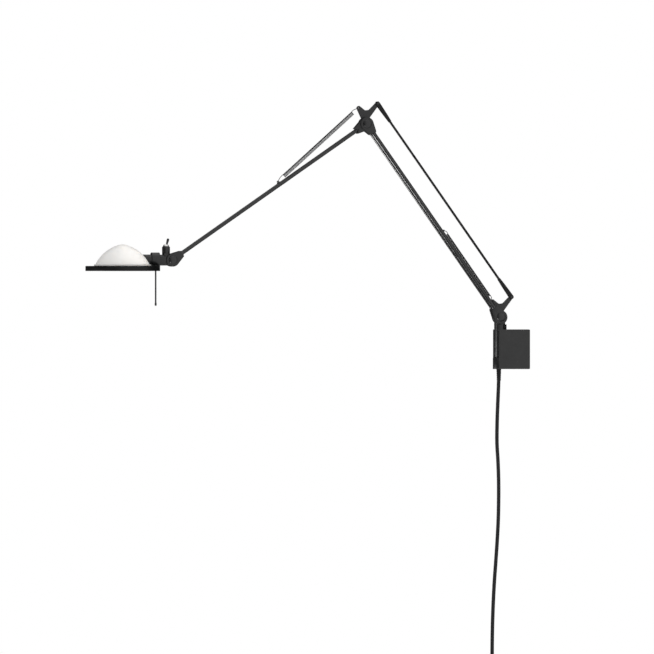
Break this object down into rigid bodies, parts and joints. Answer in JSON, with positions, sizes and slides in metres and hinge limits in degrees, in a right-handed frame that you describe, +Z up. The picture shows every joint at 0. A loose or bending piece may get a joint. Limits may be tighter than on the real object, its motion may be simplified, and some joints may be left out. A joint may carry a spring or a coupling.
{
  "type": "articulating wall lamp",
  "caption": "Black wall lamp with a swivelling post, spring-balanced parallel arms, a tilting and rolling head with a ring and opal glass dome, a toggle switch and a mains cord.",
  "frame": {"origin": "middle of the wall plate's back face, on the wall", "axes": "+Z up, +X into the wall, the arms reach out along -X, hinge axes along Y"},
  "size_m": [0.8479, 0.14, 1.2511],
  "materials": {
    "black_satin": "satin black lacquer",
    "black_gloss": "semi-gloss black lacquer",
    "plain_steel": "brushed steel",
    "dark_steel": "blackened steel",
    "bright_steel": "bright nickel plate",
    "spring_wire": "dark oiled spring wire",
    "black_plastic": "matt black plastic",
    "grey_plastic": "light grey plastic",
    "nylon": "natural nylon",
    "ceramic": "glazed ceramic",
    "black_rubber": "soft black cord jacket",
    "opal_glass": "satin opal glass",
    "clear_glass": "clear quartz"
  },
  "bodies": {
    "wall_bracket": {"wall_plate": "black_satin", "bracket_housing": "black_satin", "housing_screws": "plain_steel", "base_block": "black_satin", "pivot_tube": "plain_steel", "thrust_washer": "black_plastic", "post_guide": "black_satin", "transformer": "black_plastic", "terminal_block": "grey_plastic", "cord_gland": "black_plastic", "cord_lead": "black_rubber", "cord_coil": "black_rubber", "cord_tail": "black_rubber", "cord_tie": "black_plastic", "plug_body": "black_plastic", "plug_pins": "bright_steel"},
    "swivel": {"swivel_post": "black_satin", "shoulder_horn_plate": "black_satin", "horn_plate_pins": "plain_steel", "shoulder_bolt": "plain_steel", "shoulder_knobs": "black_gloss", "shoulder_rod_pin": "black_gloss"},
    "lower_arm": {"shoulder_fittings": "black_satin", "lower_arm_tubes": "black_satin", "lower_arm_ferrules": "dark_steel", "lower_arm_leads": "black_rubber", "spring_bridge": "black_gloss", "elbow_fittings": "black_satin", "elbow_bolt": "plain_steel", "elbow_knobs": "black_gloss", "elbow_washers": "nylon", "lower_spring": "spring_wire"},
    "tie_rod": {"tie_rod": "black_satin", "tie_rod_ends": "black_satin"},
    "elbow_bracket": {"elbow_horn_plate": "black_satin", "elbow_rod_pin": "black_gloss"},
    "upper_arm": {"elbow_fork": "black_satin", "upper_arm_tube": "black_satin", "upper_arm_ferrules": "dark_steel", "upper_arm_lead": "black_rubber", "spring_eye": "black_gloss", "upper_spring": "spring_wire", "wrist_fork": "black_satin", "wrist_bolt": "plain_steel", "wrist_knobs": "black_gloss"},
    "knuckle": {"head_knuckle": "black_satin", "roll_spindle": "plain_steel", "switch_body": "black_plastic", "switch_nut": "bright_steel"},
    "lever": {"switch_lever": "black_gloss"},
    "head": {"lamp_barrel": "black_satin", "barrel_collar": "black_satin", "head_ring": "black_satin", "glass_dome": "opal_glass", "lamp_socket": "ceramic", "halogen_bulb": "clear_glass", "handle_rod": "dark_steel", "handle_tip": "black_plastic"}
  },
  "joints": [
    {"name": "swivel_turn", "type": "hinge", "parent": "wall_bracket", "child": "swivel", "pos_m": [-0.0526, 0, 0], "axis": [0, 0, 1], "range_deg": [-85, 85]},
    {"name": "lower_arm_tilt", "type": "hinge", "parent": "swivel", "child": "lower_arm", "pos_m": [-0.0526, 0, 0.0605], "axis": [0, 1, 0], "range_deg": [-45, 30], "deforming": ["lower_spring"]},
    {"name": "tie_rod_swing", "type": "hinge", "parent": "swivel", "child": "tie_rod", "pos_m": [-0.0303, 0, 0.0988], "axis": [0, 1, 0], "range_deg": [-45, 30]},
    {"name": "elbow_bracket_level", "type": "hinge", "parent": "lower_arm", "child": "elbow_bracket", "pos_m": [-0.31027, 0, 0.42576], "axis": [0, 1, 0], "range_deg": [-30, 45]},
    {"name": "upper_arm_tilt", "type": "hinge", "parent": "elbow_bracket", "child": "upper_arm", "pos_m": [-0.31027, 0, 0.42576], "axis": [0, 1, 0], "range_deg": [-25, 50], "deforming": ["upper_spring"]},
    {"name": "head_tilt", "type": "hinge", "parent": "upper_arm", "child": "knuckle", "pos_m": [-0.68292, 0, 0.1682], "axis": [0, 1, 0], "range_deg": [-85, 32]},
    {"name": "head_roll", "type": "hinge", "parent": "knuckle", "child": "head", "pos_m": [-0.70732, 0, 0.1682], "axis": [-1, 0, 0], "range_deg": [-90, 90]},
    {"name": "switch_rock", "type": "hinge", "parent": "knuckle", "child": "lever", "pos_m": [-0.69442, 0, 0.1926], "axis": [0, 1, 0], "range_deg": [-30.4, 0]}
  ],
  "couplings": [
    {"joint": "tie_rod_swing", "follows": "lower_arm_tilt", "ratio": 1},
    {"joint": "elbow_bracket_level", "follows": "lower_arm_tilt", "ratio": -1}
  ]
}
